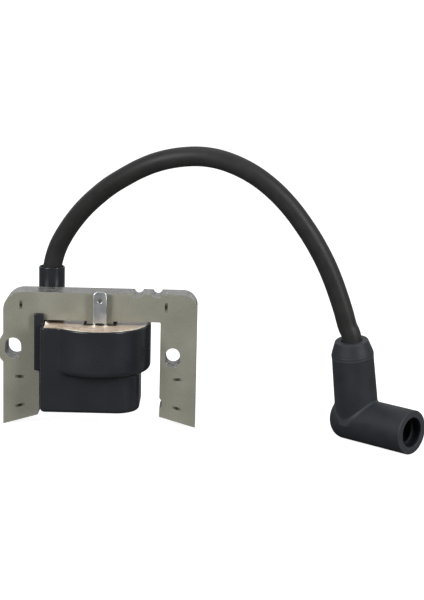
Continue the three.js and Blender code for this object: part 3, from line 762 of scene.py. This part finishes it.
def punched_steel():
    """Sides of the punched marks: torn, and black where they are deep, a painted shade."""
    finish = Finish("punched_steel", metallic=0.5)
    torn = finish.noise(0.3, 3)
    shallow = finish.colours(torn, (0.4, (0.09, 0.09, 0.07)), (0.62, (0.24, 0.24, 0.19)))
    # Painted shade: a near-black colour laid over the sides the deeper they run into the mark.
    deep_shade = finish.colours(torn, (0.4, (0.006, 0.006, 0.005)), (0.7, (0.03, 0.03, 0.024)))
    finish.drive("Base Color", finish.over(shallow, deep_shade, finish.depth(0.06, 0.4)))
    finish.drive("Roughness", finish.span(torn, 0.3, 0.7, 0.4, 0.7))
    finish.relief(torn, 0.05)
    return finish.material


def moulded(name, colour, roughness, grain, depth, gloss=0.5):
    """Moulded plastic or rubber with a fine surface and faint flow marks."""
    finish = Finish(name, Specular_IOR_Level=gloss)
    dark, light = tones(colour, 0.09)
    flow = finish.noise(14, 3)
    fine = finish.noise(grain, 3)
    finish.drive("Base Color", finish.colours(flow, (0.3, dark), (0.7, light)))
    finish.drive("Roughness", finish.span(flow, 0.3, 0.7, roughness - 0.05, roughness + 0.07))
    finish.relief(fine, depth)
    return finish


def cup_plastic():
    """Black glass-filled polyester, semi-gloss, with a fine orange peel."""
    finish = moulded("cup_plastic", (0.0135, 0.0145, 0.0175), 0.24, 0.6, 0.006, 0.3)
    finish.relief(finish.noise(6, 2), 0.008)
    return finish.material


def bobbin_plastic():
    return moulded("bobbin_plastic", (0.012, 0.012, 0.013), 0.45, 0.4, 0.01).material


def boot_rubber():
    """Blue-black moulded rubber with a dusty bloom."""
    finish = Finish("boot_rubber", Specular_IOR_Level=0.25)
    bloom = finish.noise(7, 4)
    dust = finish.noise(0.5, 3)
    base = finish.colours(bloom, (0.3, (0.0105, 0.012, 0.0145)), (0.7, (0.0155, 0.018, 0.0225)))
    pale = finish.colours(dust, (0, (0.032, 0.035, 0.04)))
    dusty = finish.over(base, pale, finish.span(dust, 0.6, 0.85, 0, 0.3))
    finish.drive("Base Color", finish.over(dusty, pale, finish.span(finish.worn(), 0, 1, 0, 0.8)))
    finish.drive("Roughness", finish.span(bloom, 0.3, 0.7, 0.52, 0.66))
    finish.relief(dust, 0.02)
    finish.relief(finish.noise(3.5, 2), 0.06)
    return finish.material


def jacket():
    """Extruded black jacket, dull satin with fine scuffs."""
    finish = Finish("jacket", Specular_IOR_Level=0.2)
    haze = finish.noise(5, 4)
    scuff = finish.noise(0.45, 3)
    base = finish.colours(haze, (0.3, (0.0135, 0.0135, 0.0132)), (0.7, (0.0182, 0.0182, 0.018)))
    finish.drive("Base Color", base)
    finish.drive("Roughness", finish.span(haze, 0.3, 0.7, 0.46, 0.56))
    finish.relief(scuff, 0.012)
    return finish.material


def resin():
    """Tan cast epoxy: cloudy and glossy, with a painted highlight that makes it paler where it climbs the
    walls.
    """
    finish = Finish("resin", Coat_Weight=0.25, Coat_Roughness=0.15)
    cloud = finish.noise(6, 3)
    speck = finish.noise(0.6, 2)
    tan = (0.3, (0.5, 0.395, 0.305)), (0.55, (0.52, 0.415, 0.325)), (0.75, (0.55, 0.45, 0.36))
    brown = finish.colours(speck, (0, (0.42, 0.32, 0.24)))
    specked = finish.over(finish.colours(cloud, *tan), brown, finish.span(speck, 0.66, 0.8, 0, 0.3))
    # Painted highlight: a pale colour laid over the tan where the resin climbs, read from the wear attribute,
    # which holds the climb height.
    pale = finish.colours(cloud, (0, (0.86, 0.8, 0.7)))
    finish.drive("Base Color", finish.over(specked, pale, finish.span(finish.worn(), 0.15, 0.6, 0, 0.9)))
    finish.drive("Roughness", finish.span(cloud, 0.3, 0.7, 0.2, 0.34))
    finish.relief(cloud, 0.015)
    return finish.material


def tinned():
    """Tinned sheet: cool grey, rolled along its length, softly scratched."""
    finish = Finish("tinned", metallic=0.9)
    rolled = finish.noise(0.25, 4, (1, 1, 0.06))
    cloud = finish.noise(4, 3)
    base = finish.colours(cloud, (0.3, (0.38, 0.405, 0.42)), (0.7, (0.56, 0.585, 0.59)))
    streaks = finish.colours(rolled, (0.3, (0.38, 0.4, 0.41)), (0.7, (0.66, 0.68, 0.67)))
    finish.drive("Base Color", finish.over(base, streaks, finish.span(rolled, 0.3, 0.7, 0.2, 0.5)))
    finish.drive("Roughness", finish.span(cloud, 0.3, 0.7, 0.26, 0.4))
    finish.relief(rolled, 0.01)
    return finish.material


def wound_copper():
    """Enamelled wire in close turns, with the odd crossed turn."""
    finish = Finish("wound_copper", metallic=0.9, Coat_Weight=0.5, Coat_Roughness=0.15)
    turns = finish.bands("Z", 0.25, 0.6)
    cloud = finish.noise(2, 3)
    copper = (0.1, (0.1, 0.03, 0.012)), (0.6, (0.52, 0.19, 0.075)), (0.95, (0.72, 0.33, 0.16))
    crossed = finish.colours(cloud, (0, (0.3, 0.1, 0.04)))
    patches = finish.span(cloud, 0.5, 0.75, 0, 0.5)
    finish.drive("Base Color", finish.over(finish.colours(turns, *copper), crossed, patches))
    finish.drive("Roughness", finish.span(cloud, 0.3, 0.7, 0.25, 0.4))
    finish.relief(turns, 0.06)
    return finish.material


def brass():
    """Drawn brass with length-wise lines and a little tarnish."""
    finish = Finish("brass", metallic=1.0)
    drawn = finish.noise(0.2, 3, (1, 1, 0.05))
    tarnish = finish.noise(1.5, 4)
    finish.drive("Base Color", finish.colours(tarnish, (0.35, (0.36, 0.25, 0.09)), (0.65, (0.6, 0.45, 0.19))))
    finish.drive("Roughness", finish.span(drawn, 0.3, 0.7, 0.22, 0.38))
    finish.relief(drawn, 0.008)
    return finish.material


def board():
    """Green glass-epoxy board with its weave and lighter copper tracks under the mask."""
    finish = Finish("board", Coat_Weight=0.4, Coat_Roughness=0.2)
    weave = finish.bands("Z", 0.5)
    tracks = finish.cells(2.6, (1, 1.6, 0.5))
    mask = finish.colours(finish.noise(3, 2), (0.3, (0.018, 0.085, 0.03)), (0.7, (0.03, 0.13, 0.045)))
    pale = finish.colours(weave, (0, (0.06, 0.2, 0.07)))
    finish.drive("Base Color", finish.over(mask, pale, finish.span(tracks, 0.3, 0.34, 0, 1)))
    finish.drive("Roughness", finish.span(weave, 0, 1, 0.32, 0.45))
    finish.relief(weave, 0.015)
    finish.relief(finish.bands("Y", 0.5), 0.015)
    return finish.material


def dipped_film():
    """Film capacitor dipped in orange-brown lacquer."""
    finish = Finish("dipped_film", Coat_Weight=0.8, Coat_Roughness=0.1)
    runs = finish.noise(2.2, 3, (1, 1, 0.5))
    finish.drive("Base Color", finish.colours(runs, (0.3, (0.3, 0.06, 0.02)), (0.7, (0.46, 0.12, 0.04))))
    finish.drive("Roughness", finish.span(runs, 0.3, 0.7, 0.25, 0.4))
    finish.relief(runs, 0.12)
    return finish.material


def moulded_case():
    return moulded("moulded_case", (0.016, 0.016, 0.017), 0.5, 0.25, 0.02).material


def resistor_paint():
    """Cream ceramic with painted bands along Z."""
    finish = Finish("resistor_paint")
    bands = finish.bands("Z", 1.0)
    body = finish.colours(finish.noise(0.8, 3), (0.3, (0.42, 0.34, 0.21)), (0.7, (0.54, 0.45, 0.3)))
    paint = finish.colours(bands, (0, (0.12, 0.05, 0.03)))
    finish.drive("Base Color", finish.over(body, paint, finish.span(bands, 0.8, 0.84, 0, 1)))
    finish.drive("Roughness", finish.span(bands, 0, 1, 0.4, 0.55))
    finish.relief(bands, 0.03)
    return finish.material


def finish_inner_nodes(by_slot):
    """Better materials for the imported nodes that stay: the inner pieces and the clip."""
    for item in frame["record"]["subparts"]:
        node = frame["nodes"].get(item["node"])
        material = by_slot.get(item["material_slot"])
        if node and material:
            for place in node.material_slots:
                place.material = material


# ---------------------------------------------------------------- stage

FLOOR_HALF = 3  # metres

# How bright the studio's walls are for the sines of their direction from -Y to +Y
WORLD_FADE = {"From Min": -0.2, "From Max": 0.7, "To Min": 0.05, "To Max": 1.0}


def add_stage():
    """A plain white table that glows for the camera, and is a dim matt surface for every other ray."""
    mesh = bpy.data.meshes.new("floor")
    signs = ((-1, -1), (1, -1), (1, 1), (-1, 1))
    mesh.from_pydata([(FLOOR_HALF * x, FLOOR_HALF * y, 0) for x, y in signs], [], [(0, 1, 2, 3)])
    floor = bpy.data.objects.new("floor", mesh)
    bpy.context.scene.collection.objects.link(floor)
    finish = Finish("floor", Emission_Color=(1, 1, 1, 1), Emission_Strength=0.9)
    cloud = finish.noise(120, 2)
    finish.drive("Base Color", finish.colours(cloud, (0.3, (0.28, 0.28, 0.28)), (0.7, (0.3, 0.3, 0.3))))
    finish.drive("Roughness", finish.span(cloud, 0.3, 0.7, 0.8, 0.9))
    dim = finish.node("BsdfDiffuse")
    dim.inputs["Color"].default_value = (0.16, 0.16, 0.16, 1)
    choice = finish.node("MixShader")
    finish.tree.links.new(finish.node("LightPath").outputs["Is Camera Ray"], choice.inputs["Fac"])
    finish.tree.links.new(dim.outputs["BSDF"], choice.inputs[1])
    finish.tree.links.new(finish.shader.outputs["BSDF"], choice.inputs[2])
    finish.tree.links.new(choice.outputs["Shader"], finish.tree.nodes["Material Output"].inputs["Surface"])
    mesh.materials.append(finish.material)


def add_light(name, place, aim, size, power):
    """A soft box of light, in metres and watts."""
    data = bpy.data.lights.new(name, "AREA")
    data.shape, data.size, data.size_y, data.energy = "RECTANGLE", *size, power
    light = bpy.data.objects.new(name, data)
    light.location = place
    light.rotation_euler = (Vector(aim) - Vector(place)).to_track_quat("-Z", "Y").to_euler()
    bpy.context.scene.collection.objects.link(light)


def add_world():
    """A white studio whose walls darken towards -Y, the side that the camera stands on."""
    world = bpy.data.worlds.new("studio")
    bpy.context.scene.world = world
    world.use_nodes = True
    tree = world.node_tree
    seen = tree.nodes["Background"]
    seen.inputs["Color"].default_value = (1, 1, 1, 1)
    seen.inputs["Strength"].default_value = 1.05
    lighting = tree.nodes.new("ShaderNodeBackground")
    direction = tree.nodes.new("ShaderNodeSeparateXYZ")
    tree.links.new(tree.nodes.new("ShaderNodeTexCoord").outputs["Generated"], direction.inputs["Vector"])
    fade = tree.nodes.new("ShaderNodeMapRange")
    fade.interpolation_type = "SMOOTHSTEP"
    for socket, value in WORLD_FADE.items():
        fade.inputs[socket].default_value = value
    tree.links.new(direction.outputs["Y"], fade.inputs["Value"])
    tree.links.new(fade.outputs["Result"], lighting.inputs["Strength"])
    choice = tree.nodes.new("ShaderNodeMixShader")
    tree.links.new(tree.nodes.new("ShaderNodeLightPath").outputs["Is Camera Ray"], choice.inputs["Fac"])
    tree.links.new(lighting.outputs["Background"], choice.inputs[1])
    tree.links.new(seen.outputs["Background"], choice.inputs[2])
    tree.links.new(choice.outputs["Shader"], tree.nodes["World Output"].inputs["Surface"])


def add_lights():
    add_world()
    middle = (0.03, 0, 0.04)
    add_light("top", (0.0, 0.05, 0.9), middle, (0.9, 0.6), 3)
    add_light("front_left", (-0.75, -0.8, 0.55), middle, (0.5, 0.7), 17)
    add_light("front_right", (0.9, -0.7, 0.45), middle, (0.3, 0.7), 14)


# ---------------------------------------------------------------- the scene

bpy.context.scene.view_settings.view_transform = "Standard"
add_camera()
lead = add_lead(jacket())
add_core(coated_steel(), sheared_steel(), punched_steel())
add_cup(cup_plastic())
add_resin(resin())
add_terminal(tinned())
boot = add_boot(boot_rubber())
finish_inner_nodes({
    "core_steel": bpy.data.materials["sheared_steel"], "resin": bpy.data.materials["resin"],
    "bobbin_plastic": bobbin_plastic(), "copper": wound_copper(), "tinned": bpy.data.materials["tinned"],
    "brass_pin": brass(), "board": board(), "film": dipped_film(), "component_epoxy": moulded_case(),
    "resistor_body": resistor_paint(),
})
add_stage()
add_lights()
